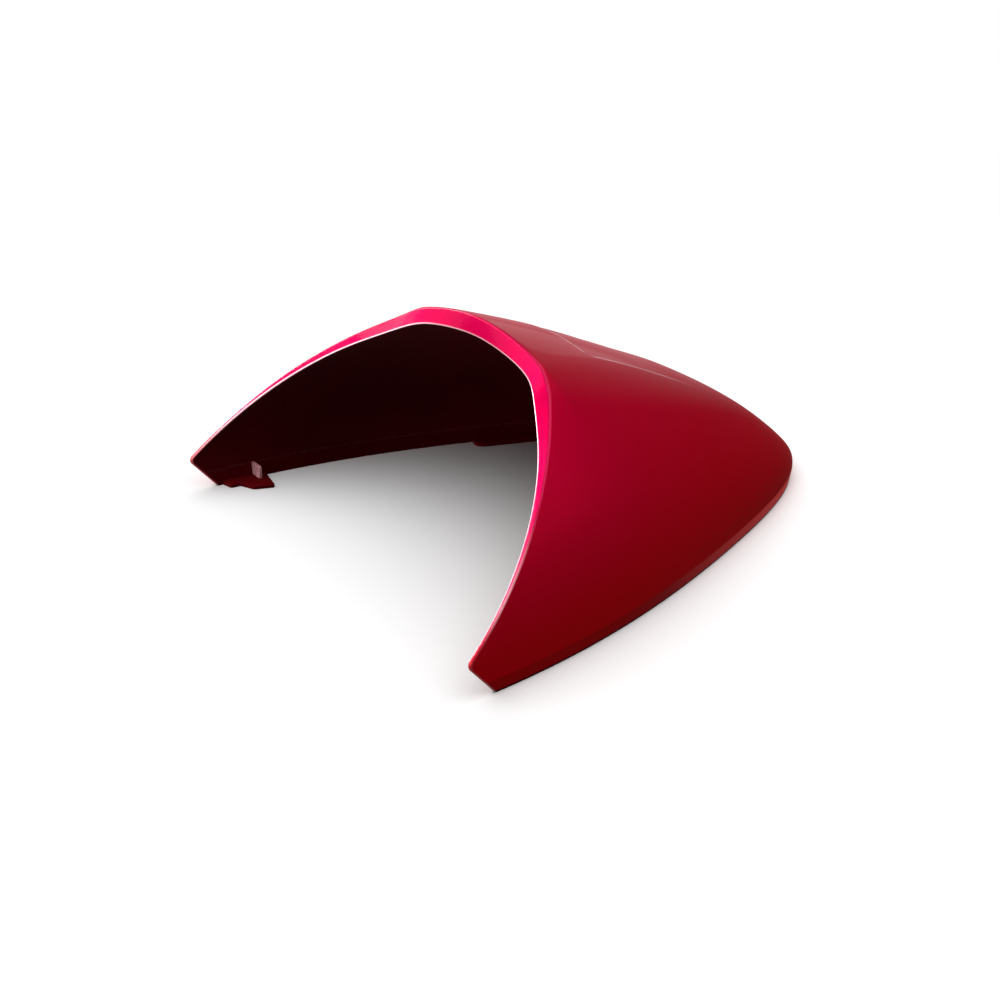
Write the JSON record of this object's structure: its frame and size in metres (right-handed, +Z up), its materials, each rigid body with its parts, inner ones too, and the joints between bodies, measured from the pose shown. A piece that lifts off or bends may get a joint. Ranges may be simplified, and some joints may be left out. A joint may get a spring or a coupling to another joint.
{
  "type": "seat cowl",
  "caption": "Thin moulded seat cowl for a motorbike: a tapering dome with a flat front rim, a creased hem, mounting tabs and a shallow roof recess.",
  "frame": {"origin": "on the floor under the hem, halfway across the width and halfway along the length", "axes": "+Z up out of the roof, +Y from the opening to the tail, +X across"},
  "size_m": [0.248, 0.2746, 0.1081],
  "materials": {
    "painted_shell": "candy red lacquer under a clear coat on moulded plastic"
  },
  "bodies": {
    "root": {"seat_cowl": "painted_shell"}
  },
  "joints": []
}
